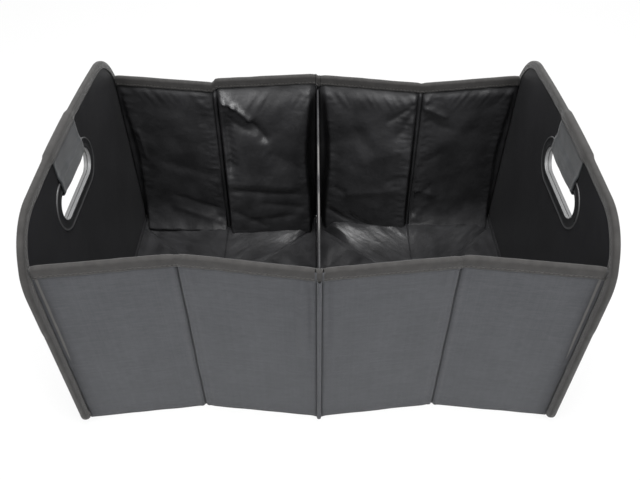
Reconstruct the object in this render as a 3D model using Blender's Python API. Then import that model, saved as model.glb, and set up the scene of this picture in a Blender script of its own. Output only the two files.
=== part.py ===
"""A folding car boot organizer: two stiff ends with grip slots, front and back walls of four hinged
boards each, a divider, and a floor that folds up as the ends are pushed together.

Metres, +X along the organizer, +Y to the back, +Z up. The origin is on the ground, under the centre.
One fold angle sets the pose: every board hangs on its own hinge line, one inside the other.
"""

import math

import bmesh
import bpy
from mathutils import Matrix, Vector

# Overall form
CREASE_PITCH = 0.123
WALL_INSET = 0.015
WALL_HEIGHT = 0.2300
WALL_FOOT = 0.0020
END_WIDTH = 0.350
END_HEIGHT = 0.2760
END_CROWN = 0.0040
END_TOP_CORNER_Y = 0.062
END_TOP_CORNER_Z = 0.068
END_FOOT_RADIUS = 0.015
DIVIDER_HEIGHT = 0.2150
FOLD_AT_REST = math.radians(6.5)

# Plies, and the room between one ply and the next
CLOTH = 0.0008
BOARD = 0.0022
END_BOARD = 0.0025
DIVIDER_BOARD = 0.0016
LINING = 0.0006
DIVIDER_CLOTH = 0.0005
TAPE = 0.0008
PLY_GAP = 0.0003

# Seams and hems
HINGE_GAP = 0.0014
SEAM_ROOM = 0.0012
CREASE_CLEARANCE = 0.00015
BOARD_INSET = 0.0012
BOARD_TOP_INSET = 0.0015
WALL_CORNER_RADIUS = 0.004
WALL_TAPE_DROP = 0.011
HEM_CLEARANCE = 0.0003
HEM_START = 0.0140
HEM_END = 0.1850
END_TAPE_WIDTH = 0.008
TAPE_EDGE_RADIUS = 0.0004
LINING_SLACK = 0.0042
LINING_FOOT_REACH = 0.024
LINING_FOOT_RISE = 0.034
LINING_FOOT_Z = 0.0046
SEAM_FIN_DEPTH = 0.0045
SEAM_FIN_DROP = 0.0025

# Grip slots
SLOT_LENGTH = 0.100
SLOT_HEIGHT = 0.031
SLOT_CENTRE_Y = -0.023
GRIP_BAR_HEIGHT = 0.0455
RING_FLANGE = 0.0115
RING_FLANGE_THICKNESS = 0.0014
RING_COLLAR = 0.0016
RING_LIP_RADIUS = 0.0005
WRAP_WIDTH = 0.074
WRAP_CLOTH = 0.0012
WRAP_BEND_RADIUS = 0.0010
WRAP_HANG = 0.0015
WRAP_SLOPE = 0.0060

# Floor
FLOOR_THICKNESS = 0.0020
FLOOR_HINGE_Z = 0.0042
FLOOR_HINGE_TUCK = 0.0011
FLOOR_SIDE_CLEARANCE = 0.020
FLOOR_LIP = 0.0008
GUSSET_CLOTH = 0.0008
GUSSET_FOOT = 0.0006
GUSSET_EDGE_GAP = 0.0028
GUSSET_TUCK = 0.0049

# Facets
TOP_CORNER_STEPS = 9
FOOT_CORNER_STEPS = 4
CROWN_STEPS = 8
SLOT_END_STEPS = 9
SMALL_CORNER_STEPS = 3
LINING_COLUMNS = 10
LINING_ROWS = 15

# Worked out from the sizes above
WALL_LINE = END_WIDTH / 2 - WALL_INSET
LINING_FACE = SEAM_ROOM
BOARD_FACE = LINING_FACE + LINING + PLY_GAP
CLOTH_FACE = BOARD_FACE + BOARD + PLY_GAP
PANEL_BACK = CLOTH_FACE + CLOTH
CREASE_DEPTH = PANEL_BACK + SEAM_ROOM
END_THICKNESS = LINING + PLY_GAP + END_BOARD + PLY_GAP + CLOTH
DIVIDER_HALF = DIVIDER_BOARD / 2 + PLY_GAP + DIVIDER_CLOTH
HINGE_X = DIVIDER_HALF + HINGE_GAP
TAPE_ROOM = TAPE + PLY_GAP
CORNER_X = HINGE_X + 2 * (CREASE_PITCH * math.cos(FOLD_AT_REST) + CREASE_DEPTH * math.sin(FOLD_AT_REST))
FLOOR_HALF_WIDTH = WALL_LINE - FLOOR_SIDE_CLEARANCE
SLOT_TOP_Z = END_HEIGHT - GRIP_BAR_HEIGHT
SLOT_CENTRE_Z = SLOT_TOP_Z - SLOT_HEIGHT / 2
WRAP_FAR_Y = abs(SLOT_CENTRE_Y) + WRAP_WIDTH / 2
CROWN_REACH = END_WIDTH / 2 - END_TOP_CORNER_Y
WRAP_TOP_Z = END_HEIGHT - END_TAPE_WIDTH - PLY_GAP - END_CROWN * (WRAP_FAR_Y / CROWN_REACH) ** 2
SEAM_FIN_TOP = WALL_HEIGHT - WALL_TAPE_DROP - SEAM_FIN_DROP

# Finish of each material: colour, roughness, metallic
FINISHES = {
    "outer_cloth": ((0.092, 0.098, 0.106), 0.88, 0.0),
    "binding": ((0.085, 0.075, 0.066), 0.80, 0.0),
    "lining": ((0.022, 0.022, 0.024), 0.38, 0.0),
    "end_lining": ((0.020, 0.020, 0.024), 0.60, 0.0),
    "stiffener": ((0.11, 0.105, 0.10), 0.65, 0.0),
    "grip_ring": ((0.055, 0.056, 0.058), 0.35, 0.0),
    "grip_wrap": ((0.030, 0.036, 0.042), 0.75, 0.0),
}

SIDES = {"left": -1, "right": 1}
WALLS = {"front": -1, "back": 1}


def clear_scene():
    for obj in list(bpy.data.objects):
        bpy.data.objects.remove(obj)


def material(slot):
    """The Principled material of one slot, made once."""
    found = bpy.data.materials.get(slot)
    if found:
        return found
    colour, roughness, metallic = FINISHES[slot]
    made = bpy.data.materials.new(slot)
    made.use_nodes = True
    shader = made.node_tree.nodes["Principled BSDF"]
    shader.inputs["Base Color"].default_value = (*colour, 1.0)
    shader.inputs["Roughness"].default_value = roughness
    shader.inputs["Metallic"].default_value = metallic
    made.diffuse_color = (*colour, 1.0)
    return made


def hinge_empty(name, parent, place, axis="Z", angle=0.0):
    """An empty on a hinge line. What rides on the hinge is parented to it."""
    hinge = bpy.data.objects.new(name, None)
    hinge.empty_display_size = 0.02
    bpy.context.scene.collection.objects.link(hinge)
    hinge.parent = parent
    hinge.location = place
    hinge.rotation_euler["XYZ".index(axis)] = angle
    return hinge


def finish(shape, name, slot, parent, flip_x=1, flip_y=1):
    """Turns a bmesh drawn for the right back of the organizer into an object on any side of it."""
    bmesh.ops.transform(shape, matrix=Matrix.Diagonal((flip_x, flip_y, 1, 1)), verts=shape.verts)
    bmesh.ops.recalc_face_normals(shape, faces=shape.faces)
    mesh = bpy.data.meshes.new(name)
    shape.to_mesh(mesh)
    shape.free()
    mesh.shade_smooth()
    mesh.set_sharp_from_angle(angle=math.radians(30))
    mesh.materials.append(material(slot))
    made = bpy.data.objects.new(name, mesh)
    bpy.context.scene.collection.objects.link(made)
    made.parent = parent
    return made


def cut(target, cutter):
    """Takes the cutter's shape out of the target."""
    cutter.hide_render = True
    cutter.display_type = "WIRE"
    modifier = target.modifiers.new("Slot", "BOOLEAN")
    modifier.operation = "DIFFERENCE"
    modifier.solver = "EXACT"
    modifier.object = cutter


def prism(outline, low, high, axis="X"):
    """A closed outline pushed straight from low to high along an axis."""
    shape = bmesh.new()
    place = {
        "X": lambda a, b: Vector((low, a, b)),
        "Y": lambda a, b: Vector((a, low, b)),
        "Z": lambda a, b: Vector((a, b, low)),
    }[axis]
    face = shape.faces.new([shape.verts.new(place(a, b)) for a, b in outline])
    swept = bmesh.ops.extrude_face_region(shape, geom=[face])
    along = Vector([high - low if name == axis else 0.0 for name in "XYZ"])
    moved = [item for item in swept["geom"] if isinstance(item, bmesh.types.BMVert)]
    bmesh.ops.translate(shape, verts=moved, vec=along)
    return shape


def ring_sweep(sections):
    """Joins closed sections, each a list of points, into one ring: the last meets the first."""
    shape = bmesh.new()
    rows = [[shape.verts.new(point) for point in section] for section in sections]
    for row, after in zip(rows, rows[1:] + rows[:1]):
        for k in range(len(row)):
            following = (k + 1) % len(row)
            shape.faces.new((row[k], row[following], after[following], after[k]))
    return shape


def arc(centre, radius_a, radius_b, start, end, steps):
    """Points on an elliptical arc, angles in degrees, both ends included."""
    points = []
    for k in range(steps + 1):
        turn = math.radians(start + (end - start) * k / steps)
        points.append((centre[0] + radius_a * math.cos(turn), centre[1] + radius_b * math.sin(turn)))
    return points


def rounded_rectangle(low, high, radius, steps=SMALL_CORNER_STEPS):
    """Corner arcs of a rectangle between two corners, anticlockwise from the lower right."""
    (a0, b0), (a1, b1) = low, high
    corners = ((a1 - radius, b0 + radius, -90), (a1 - radius, b1 - radius, 0),
               (a0 + radius, b1 - radius, 90), (a0 + radius, b0 + radius, 180))
    points = []
    for a, b, start in corners:
        points += arc((a, b), radius, radius, start, start + 90, steps)
    return points


def end_outline():
    """The outline of an end panel, anticlockwise in Y and Z: square foot, big top corners, crowned top."""
    half = END_WIDTH / 2
    shoulder = END_HEIGHT - END_CROWN
    flat = half - END_TOP_CORNER_Y
    foot = half - END_FOOT_RADIUS
    corner_z = shoulder - END_TOP_CORNER_Z
    points = arc((foot, END_FOOT_RADIUS), END_FOOT_RADIUS, END_FOOT_RADIUS, -90, 0, FOOT_CORNER_STEPS)
    points += arc((flat, corner_z), END_TOP_CORNER_Y, END_TOP_CORNER_Z, 0, 90, TOP_CORNER_STEPS)
    for k in range(1, CROWN_STEPS):
        y = flat - 2 * flat * k / CROWN_STEPS
        points.append((y, shoulder + END_CROWN * (1 - (y / flat) ** 2)))
    points += arc((-flat, corner_z), END_TOP_CORNER_Y, END_TOP_CORNER_Z, 90, 180, TOP_CORNER_STEPS)
    points += arc((-foot, END_FOOT_RADIUS), END_FOOT_RADIUS, END_FOOT_RADIUS, 180, 270, FOOT_CORNER_STEPS)
    return points


def slot_outline(growth=0.0):
    """The grip slot's outline, a length with round ends, grown all round."""
    radius = SLOT_HEIGHT / 2
    reach = SLOT_LENGTH / 2 - radius
    grown = radius + growth
    back = arc((SLOT_CENTRE_Y + reach, SLOT_CENTRE_Z), grown, grown, -90, 90, SLOT_END_STEPS)
    front = arc((SLOT_CENTRE_Y - reach, SLOT_CENTRE_Z), grown, grown, 90, 270, SLOT_END_STEPS)
    return back + front


def outward_normals(outline):
    """The outward direction at each point of a closed anticlockwise outline."""
    normals = []
    for k, point in enumerate(outline):
        before = outline[k - 1]
        after = outline[(k + 1) % len(outline)]
        along = Vector((after[0] - before[0], after[1] - before[1])).normalized()
        normals.append(Vector((along.y, -along.x)))
    return normals


def inset(outline, distance):
    """The outline moved inwards by a distance."""
    pairs = zip(outline, outward_normals(outline))
    return [(point[0] - normal.x * distance, point[1] - normal.y * distance) for point, normal in pairs]


def swept_round(outline, section):
    """A section of (inward distance, x) points carried round an outline in Y and Z."""
    sections = []
    for point, normal in zip(outline, outward_normals(outline)):
        sections.append([
            Vector((x, point[0] - normal.x * inward, point[1] - normal.y * inward)) for inward, x in section
        ])
    return ring_sweep(sections)


def smooth_step(value):
    """Eases from 0 to 1 as the value goes from 0 to 1."""
    held = min(1.0, max(0.0, value))
    return held * held * (3 - 2 * held)


def fold_ridge(across, up, centre, slope, width):
    """A soft ridge along a slanting line of the lining."""
    return math.exp(-(((up - centre - slope * (across - 0.5)) / width) ** 2))


def lining_slack(across, up, phase):
    """How far the lining stands off its board between its seams: broad sag with slanting folds in it."""
    fade = smooth_step(across / 0.25) * smooth_step((1 - across) / 0.25) * smooth_step((1 - up) / 0.3)
    sag = 0.35 + 0.30 * math.sin(phase + 2.2 * up) * math.sin(math.pi * across)
    folds = 0.75 * fold_ridge(across, up, 0.62 + 0.05 * math.sin(phase), 0.45 * math.sin(phase * 1.7), 0.09)
    folds += 0.50 * fold_ridge(across, up, 0.30, 0.30 * math.cos(phase * 2.3), 0.07)
    return LINING_SLACK * fade * (sag + folds)


def sheet(columns, rows, front, thickness):
    """A thin sheet: front(a, b) gives the point and the way back of each grid node, a and b from 0 to 1."""
    shape = bmesh.new()
    grid = []
    for layer in (0.0, thickness):
        grid.append([])
        for j in range(rows + 1):
            line = []
            for i in range(columns + 1):
                point, back = front(i / columns, j / rows)
                line.append(shape.verts.new(point + back * layer))
            grid[-1].append(line)
    near, far = grid
    for j in range(rows):
        for i in range(columns):
            for layer, turn in ((near, 1), (far, -1)):
                corners = (layer[j][i], layer[j][i + 1], layer[j + 1][i + 1], layer[j + 1][i])
                shape.faces.new(corners[::turn])
    rim = [(j, 0) for j in range(rows)] + [(rows, i) for i in range(columns)]
    rim += [(j, columns) for j in range(rows, 0, -1)] + [(0, i) for i in range(columns, 0, -1)]
    for here, after in zip(rim, rim[1:] + rim[:1]):
        shape.faces.new((near[here[0]][here[1]], near[after[0]][after[1]],
                         far[after[0]][after[1]], far[here[0]][here[1]]))
    return shape


def wall_cloth():
    """The outer cloth of one wall board. Its hem reaches past the hinge, to the panel that it is sewn to."""
    top = WALL_HEIGHT - TAPE_ROOM
    outline = rounded_rectangle((0, WALL_FOOT), (CREASE_PITCH - CREASE_CLEARANCE, top), WALL_CORNER_RADIUS)
    hem = HEM_CLEARANCE - HINGE_GAP
    outline += [(0, HEM_START), (hem, HEM_START + HINGE_GAP), (hem, HEM_END - HINGE_GAP), (0, HEM_END)][::-1]
    corner_first = 3 * (SMALL_CORNER_STEPS + 1)
    hem_points = outline[-4:]
    outline = outline[:corner_first] + hem_points + outline[corner_first:-4]
    return prism(outline, CLOTH_FACE, PANEL_BACK, "Y")


def wall_board():
    """The stiff board between a wall's cloth and its lining."""
    outline = rounded_rectangle(
        (BOARD_INSET, WALL_FOOT + BOARD_TOP_INSET),
        (CREASE_PITCH - BOARD_INSET, WALL_HEIGHT - TAPE_ROOM - BOARD_TOP_INSET),
        WALL_CORNER_RADIUS,
    )
    return prism(outline, BOARD_FACE, BOARD_FACE + BOARD, "Y")


def wall_lining(phase):
    """The loose lining over one wall board. It is held under the tape, sags, and sweeps in over the floor."""
    start = BOARD_INSET
    length = CREASE_PITCH - CREASE_CLEARANCE - PLY_GAP - start
    top = WALL_HEIGHT - TAPE_ROOM
    tape_foot = WALL_HEIGHT - WALL_TAPE_DROP - PLY_GAP
    inwards = Vector((math.sin(FOLD_AT_REST), -math.cos(FOLD_AT_REST), 0))

    def front(across, up):
        foot = LINING_FOOT_Z + length * across * math.sin(FOLD_AT_REST)
        z = foot + (top - foot) * up
        free = (z - foot) / (tape_foot - foot)
        off = lining_slack(across, free, phase) if free < 1 else 0.0
        off += LINING_FOOT_REACH * max(0.0, 1 - (z - foot) / LINING_FOOT_RISE) ** 2
        return Vector((start + length * across, LINING_FACE, z)) + inwards * off, Vector((0, 1, 0))

    return sheet(LINING_COLUMNS, LINING_ROWS, front, LINING)


def wall_binding():
    """The tape folded over a wall's top edge, an upside-down U along the board."""
    inner = LINING_FACE - PLY_GAP
    outer = PANEL_BACK + PLY_GAP
    low = WALL_HEIGHT - WALL_TAPE_DROP
    top = WALL_HEIGHT
    edge = TAPE_EDGE_RADIUS
    section = [(inner - TAPE, low), (inner, low), (inner, top - TAPE), (outer, top - TAPE), (outer, low),
               (outer + TAPE, low)]
    section += arc((outer + TAPE - edge, top - edge), edge, edge, 0, 90, SMALL_CORNER_STEPS)
    section += arc((inner - TAPE + edge, top - edge), edge, edge, 90, 180, SMALL_CORNER_STEPS)
    return prism(section, PLY_GAP, CREASE_PITCH - CREASE_CLEARANCE, "X")


def add_wall_panel(name, hinge, flip_x, flip_y, beyond_crease, phase):
    """The four plies of one wall board on its hinge. Past the crease the board is drawn towards the end."""
    plies = (
        ("cloth", wall_cloth(), "outer_cloth"),
        ("board", wall_board(), "stiffener"),
        ("lining", wall_lining(phase), "lining"),
        ("binding", wall_binding(), "binding"),
    )
    for ply, shape, slot in plies:
        if beyond_crease:
            turned = Matrix.Translation((CREASE_PITCH, -CREASE_DEPTH, 0)) @ Matrix.Diagonal((-1, 1, 1, 1))
            bmesh.ops.transform(shape, matrix=turned, verts=shape.verts)
        finish(shape, f"{name}_{ply}", slot, hinge, flip_x, flip_y)


def floor_panel():
    """One floor board in its cloth. Its mitred sides clear the walls as they fold, and a lip meets the seam."""
    top = -SEAM_ROOM
    bottom = top - FLOOR_THICKNESS
    start = BOARD_INSET / 2
    end = CREASE_PITCH - CREASE_CLEARANCE
    profile = ((start, top), (end, top), (end, bottom), (0, bottom),
               (0, bottom + FLOOR_LIP), (start, bottom + FLOOR_LIP))
    shape = bmesh.new()
    rims = []
    for side in (-1, 1):
        rims.append([shape.verts.new((x, side * (FLOOR_HALF_WIDTH - x), z)) for x, z in profile])
    near, far = rims
    shape.faces.new(near)
    shape.faces.new(far[::-1])
    for k in range(len(profile)):
        after = (k + 1) % len(profile)
        shape.faces.new((near[k], far[k], far[after], near[after]))
    return shape


def add_floor_panel(name, hinge, flip_x, beyond_ridge):
    shape = floor_panel()
    if beyond_ridge:
        turned = Matrix.Translation((CREASE_PITCH, 0, CREASE_DEPTH)) @ Matrix.Diagonal((-1, 1, 1, 1))
        bmesh.ops.transform(shape, matrix=turned, verts=shape.verts)
    finish(shape, name, "lining", hinge, flip_x)


def gusset():
    """The soft triangle of floor between a wall and the mitred floor boards, as it lies at rest."""
    middle_x = (HINGE_X + CORNER_X) / 2
    crease_in = CREASE_PITCH * math.sin(FOLD_AT_REST)
    ridge_z = FLOOR_HINGE_Z + crease_in - (SEAM_ROOM + FLOOR_THICKNESS) * math.cos(FOLD_AT_REST)
    under_wall = WALL_LINE + GUSSET_TUCK
    foot = GUSSET_FOOT
    mitre = FLOOR_HALF_WIDTH + GUSSET_EDGE_GAP
    start = Vector((HINGE_X, mitre, foot))
    ridge = Vector((middle_x, mitre - CREASE_PITCH, ridge_z))
    wall_start = Vector((HINGE_X, under_wall, foot))
    wall_middle = Vector((middle_x, under_wall - crease_in, foot))
    mirror_x = 2 * middle_x
    finish_point = Vector((mirror_x - start.x, start.y, start.z))
    wall_finish = Vector((mirror_x - wall_start.x, wall_start.y, wall_start.z))
    shape = bmesh.new()
    layers = []
    for lift in (0.0, GUSSET_CLOTH):
        corners = (start, ridge, finish_point, wall_finish, wall_middle, wall_start)
        layers.append([shape.verts.new(corner + Vector((0, 0, lift))) for corner in corners])
    for (a, b, c, d, e, f), turn in ((layers[0], 1), (layers[1], -1)):
        for face in ((a, b, e), (a, e, f), (b, c, e), (c, d, e)):
            shape.faces.new(face[::turn])
    low, high = layers
    for k in range(len(low)):
        after = (k + 1) % len(low)
        shape.faces.new((low[k], high[k], high[after], low[after]))
    return shape


def end_plies():
    """Lining, board and outer cloth of an end panel: name, slot, inner face, thickness."""
    board_in = LINING + PLY_GAP
    cloth_in = board_in + END_BOARD + PLY_GAP
    return (
        ("lining", "end_lining", 0.0, LINING),
        ("board", "stiffener", board_in, END_BOARD),
        ("cloth", "outer_cloth", cloth_in, CLOTH),
    )


def end_tape_section():
    """The U of tape round an end panel's edge, as (inward distance, x) points."""
    inside = -PLY_GAP - TAPE
    outside = END_THICKNESS + PLY_GAP + TAPE
    edge = TAPE_EDGE_RADIUS
    section = [(END_TAPE_WIDTH, inside), (END_TAPE_WIDTH, inside + TAPE), (TAPE, inside + TAPE),
               (TAPE, outside - TAPE), (END_TAPE_WIDTH, outside - TAPE), (END_TAPE_WIDTH, outside)]
    section += arc((edge, outside - edge), edge, edge, 90, 180, 2)
    section += arc((edge, inside + edge), edge, edge, 180, 270, 2)
    return section


def ring_section(face, inwards):
    """Half of the plastic grip ring: a flange on the panel's face and a collar half way through it."""
    back = face + inwards * -PLY_GAP
    front = back - inwards * RING_FLANGE_THICKNESS
    collar_end = END_THICKNESS / 2 - inwards * PLY_GAP / 2
    lip = RING_LIP_RADIUS
    return [
        (-RING_FLANGE, back),
        (-RING_COLLAR, back),
        (-RING_COLLAR, collar_end),
        (0.0, collar_end),
        (0.0, front + inwards * lip * 2),
        (-lip * 0.6, front + inwards * lip * 0.6),
        (-lip * 2, front),
        (-RING_FLANGE + lip * 2, front),
        (-RING_FLANGE + lip * 0.4, front + inwards * lip * 0.6),
        (-RING_FLANGE, front + inwards * lip * 1.6),
    ]


def wrap_path(grown):
    """A side of the grip wrap's section: down one face over the ring, under the grip bar and up the other."""
    on_panel = PLY_GAP + grown
    on_ring = PLY_GAP + RING_FLANGE_THICKNESS + PLY_GAP + grown
    ring_top = SLOT_TOP_Z + RING_FLANGE + PLY_GAP
    low = SLOT_TOP_Z - PLY_GAP - WRAP_HANG - grown
    bend = WRAP_BEND_RADIUS + grown
    inside = [(-on_panel, WRAP_TOP_Z), (-on_panel, ring_top + WRAP_SLOPE), (-on_ring, ring_top)]
    inside += arc((bend - on_ring, low + bend), bend, bend, 180, 270, SMALL_CORNER_STEPS)
    outside = [(END_THICKNESS - x, z) for x, z in inside[::-1]]
    return inside + outside


def grip_wrap():
    """The cloth band round the grip bar: through the slot, over both rings and up to the edge tape."""
    section = wrap_path(0.0) + wrap_path(WRAP_CLOTH)[::-1]
    return prism(section, SLOT_CENTRE_Y - WRAP_WIDTH / 2, SLOT_CENTRE_Y + WRAP_WIDTH / 2, "Y")


def add_end(side, hinge, flip_x):
    """An end panel with its grip slot. It is drawn with its inner face at x = 0, towards the outside."""
    frame = Matrix.Translation((HINGE_GAP, -WALL_LINE, 0))
    outline = end_outline()
    plies_outline = inset(outline, TAPE_ROOM)
    panel_slot = slot_outline(RING_COLLAR + PLY_GAP)

    def place(shape, name, slot):
        bmesh.ops.transform(shape, matrix=frame, verts=shape.verts)
        return finish(shape, name, slot, hinge, flip_x, WALLS["front"] * -1)

    margin = 0.01
    cutter = place(prism(panel_slot, -margin, END_THICKNESS + margin), f"{side}_slot_cutter", "stiffener")
    for ply, slot, inner_face, thickness in end_plies():
        made = place(prism(plies_outline, inner_face, inner_face + thickness), f"{side}_end_{ply}", slot)
        cut(made, cutter)
    place(swept_round(outline, end_tape_section()), f"{side}_end_binding", "binding")
    inside_ring = swept_round(slot_outline(), ring_section(0.0, 1))
    outside_ring = swept_round(slot_outline(), ring_section(END_THICKNESS, -1))
    place(inside_ring, f"{side}_grip_ring_inside", "grip_ring")
    place(outside_ring, f"{side}_grip_ring_outside", "grip_ring")
    place(grip_wrap(), f"{side}_grip_wrap", "grip_wrap")


def divider_cover():
    """The lining cloth over the divider's board: folded over its top, open at its foot and ends."""
    outer = DIVIDER_HALF
    inner = DIVIDER_BOARD / 2 + PLY_GAP
    top = DIVIDER_HEIGHT
    section = [(-outer, WALL_FOOT), (-inner, WALL_FOOT), (-inner, top - DIVIDER_CLOTH - PLY_GAP),
               (inner, top - DIVIDER_CLOTH - PLY_GAP), (inner, WALL_FOOT), (outer, WALL_FOOT)]
    section += arc((0, top - outer), outer, outer, 0, 180, 2 * SMALL_CORNER_STEPS)
    return prism(section, -WALL_LINE - CLOTH_FACE, WALL_LINE + CLOTH_FACE, "Y")


def add_divider(root):
    board_top = DIVIDER_HEIGHT - DIVIDER_CLOTH - 2 * PLY_GAP
    reach = WALL_LINE + BOARD_FACE
    outline = rounded_rectangle((-reach, WALL_FOOT + PLY_GAP), (reach, board_top), WALL_CORNER_RADIUS)
    finish(prism(outline, -DIVIDER_BOARD / 2, DIVIDER_BOARD / 2, "X"), "divider_board", "stiffener", root)
    finish(divider_cover(), "divider_cover", "lining", root)
    fin_start = WALL_LINE + CLOTH_FACE + PLY_GAP
    fin_half = DIVIDER_HALF - PLY_GAP
    for wall, flip_y in WALLS.items():
        fin_end = fin_start + SEAM_FIN_DEPTH
        outline = rounded_rectangle((-fin_half, fin_start), (fin_half, fin_end), fin_half * 0.8)
        fin = prism(outline, WALL_FOOT, SEAM_FIN_TOP, "Z")
        finish(fin, f"{wall}_centre_seam", "outer_cloth", root, 1, flip_y)


def add_side(side, flip_x, root):
    """One compartment: wall boards on their hinges, the end that they carry, the floor and its gussets."""
    for wall, flip_y in WALLS.items():
        turn = -flip_x * flip_y * FOLD_AT_REST
        at_divider = (flip_x * HINGE_X, flip_y * WALL_LINE, 0)
        to_crease = (flip_x * CREASE_PITCH, flip_y * CREASE_DEPTH, 0)
        to_corner = (flip_x * CREASE_PITCH, -flip_y * CREASE_DEPTH, 0)
        inner = hinge_empty(f"{wall}_{side}_inner_hinge", root, at_divider, "Z", turn)
        outer = hinge_empty(f"{wall}_{side}_crease", inner, to_crease, "Z", -2 * turn)
        phase = 1.7 * flip_x + 0.9 * flip_y
        add_wall_panel(f"{wall}_{side}_inner", inner, flip_x, flip_y, False, phase)
        add_wall_panel(f"{wall}_{side}_outer", outer, flip_x, flip_y, True, phase + 2.1)
        if wall == "front":
            corner = hinge_empty(f"{side}_end_hinge", outer, to_corner, "Z", turn)
            centred = hinge_empty(f"{side}_end_centre", corner, (0, WALL_LINE * 2, 0))
            add_end(side, centred, flip_x)
        finish(gusset(), f"{wall}_{side}_gusset", "lining", root, flip_x, flip_y)
    lift = -flip_x * FOLD_AT_REST
    at_divider = (flip_x * (HINGE_X - FLOOR_HINGE_TUCK), 0, FLOOR_HINGE_Z)
    inner = hinge_empty(f"{side}_floor_hinge", root, at_divider, "Y", lift)
    at_ridge = (flip_x * CREASE_PITCH, 0, -CREASE_DEPTH)
    ridge = hinge_empty(f"{side}_floor_ridge", inner, at_ridge, "Y", -2 * lift)
    add_floor_panel(f"{side}_floor_inner", inner, flip_x, False)
    add_floor_panel(f"{side}_floor_outer", ridge, flip_x, True)


def main():
    clear_scene()
    root = hinge_empty("organizer", None, (0, 0, 0))
    add_divider(root)
    for side, flip_x in SIDES.items():
        add_side(side, flip_x, root)


main()
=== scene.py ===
"""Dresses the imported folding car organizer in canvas, tape and satin, and sets its light and camera."""

import math

import bmesh
import bpy
from mathutils import Matrix, Vector, noise


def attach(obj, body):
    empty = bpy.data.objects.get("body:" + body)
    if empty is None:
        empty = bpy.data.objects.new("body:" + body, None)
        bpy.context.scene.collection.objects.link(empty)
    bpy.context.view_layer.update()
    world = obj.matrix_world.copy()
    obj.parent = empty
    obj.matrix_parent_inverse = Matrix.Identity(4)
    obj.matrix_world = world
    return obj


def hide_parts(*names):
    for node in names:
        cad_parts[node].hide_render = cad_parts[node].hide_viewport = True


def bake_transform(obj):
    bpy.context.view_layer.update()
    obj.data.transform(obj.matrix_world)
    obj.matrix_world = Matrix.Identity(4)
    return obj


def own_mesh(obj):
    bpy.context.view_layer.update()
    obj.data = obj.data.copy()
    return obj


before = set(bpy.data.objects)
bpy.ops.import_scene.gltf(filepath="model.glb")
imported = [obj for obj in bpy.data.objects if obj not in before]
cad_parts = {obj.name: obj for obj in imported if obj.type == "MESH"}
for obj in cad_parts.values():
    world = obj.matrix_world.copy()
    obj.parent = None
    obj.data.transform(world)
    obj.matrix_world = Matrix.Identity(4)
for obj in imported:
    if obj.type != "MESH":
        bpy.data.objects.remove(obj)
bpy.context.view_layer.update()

# Where the part's boards, hinges and plies lie, as the CAD has them
SIDES = {"left": -1, "right": 1}
WALLS = {"front": -1, "back": 1}
REST_FOLD = math.radians(6.5)
REST_COS = math.cos(REST_FOLD)
REST_SIN = math.sin(REST_FOLD)
CREASE_PITCH = 0.123
WALL_LINE = 0.160
HINGE_X = 0.0030
CREASE_DEPTH = 0.0066
CORNER_X = HINGE_X + 2 * (CREASE_PITCH * REST_COS + CREASE_DEPTH * REST_SIN)
WALL_FOOT = 0.0020
WALL_TOP = 0.2300
TAPE_DROP = 0.0110
LINING_FACE = 0.0012
CANVAS_FACE = 0.0054
HEM_REACH = 0.0011
END_INNER_X = CORNER_X + 0.0014
END_THICKNESS = 0.0045
END_WIDTH = 0.350
END_HEIGHT = 0.276
END_CROWN = 0.004
END_CORNER_Y = 0.062
END_CORNER_Z = 0.068
END_FOOT_RADIUS = 0.015
END_TAPE_WIDTH = 0.0080
DIVIDER_HALF = 0.0016
DIVIDER_TOP = 0.2150
SLOT_LENGTH = 0.100
SLOT_HEIGHT = 0.031
SLOT_CENTRE_Y = -0.023
SLOT_CENTRE_Z = 0.215
SLOT_EDGE_TURN = 0.648
RING_FLANGE = 0.0115
WRAP_WIDTH = 0.074
WRAP_THICKNESS = 0.0012
FLOOR_HINGE_X = 0.0019
FLOOR_HINGE_Z = 0.0042
FLOOR_HALF_WIDTH = 0.140
FLOOR_THICKNESS = 0.0020

# Cloth
CANVAS_THICKNESS = 0.0006
TAPE_THICKNESS = 0.0007
LINING_THICKNESS = 0.0005
SEAM_CLOTH_THICKNESS = 0.0004
THREAD_PITCH = 0.00075
SATIN_THREAD_PITCH = 0.00045
END_LINING_THREAD_PITCH = 0.0006
TAPE_RIB_PITCH = 0.0009
TAPE_THREAD_PITCH = 0.00055
STITCH_PITCH = 0.0042
STITCH_INSET = 0.0024
WRAP_RIB_PITCH = 0.0010
WRAP_THREAD_PITCH = 0.0007
WRAP_STITCH_PITCH = 0.0034
WRAP_STITCH_INSET = 0.0032
TAPE_INNER_FACE = 0.0001
TAPE_OUTER_FACE = 0.0065
UNDER_TAPE = 0.0014
LINING_REACH = 0.0009
FOOT_REACH = 0.024
SEAM_LEAN = 0.008
CREASE_PLACE = CREASE_PITCH + HEM_REACH

# How far the top edge of each half wall rides up, at the divider, on both sides of the crease and at the end
TOP_LIFTS = {
    ("front", "left"): (-0.0003, 0.0036, 0.0036, 0.0026),
    ("front", "right"): (-0.0003, 0.0000, 0.0014, 0.0000),
    ("back", "left"): (0.0050, 0.0060, 0.0012, 0.0030),
    ("back", "right"): (0.0030, 0.0000, 0.0000, 0.0020),
}

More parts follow.
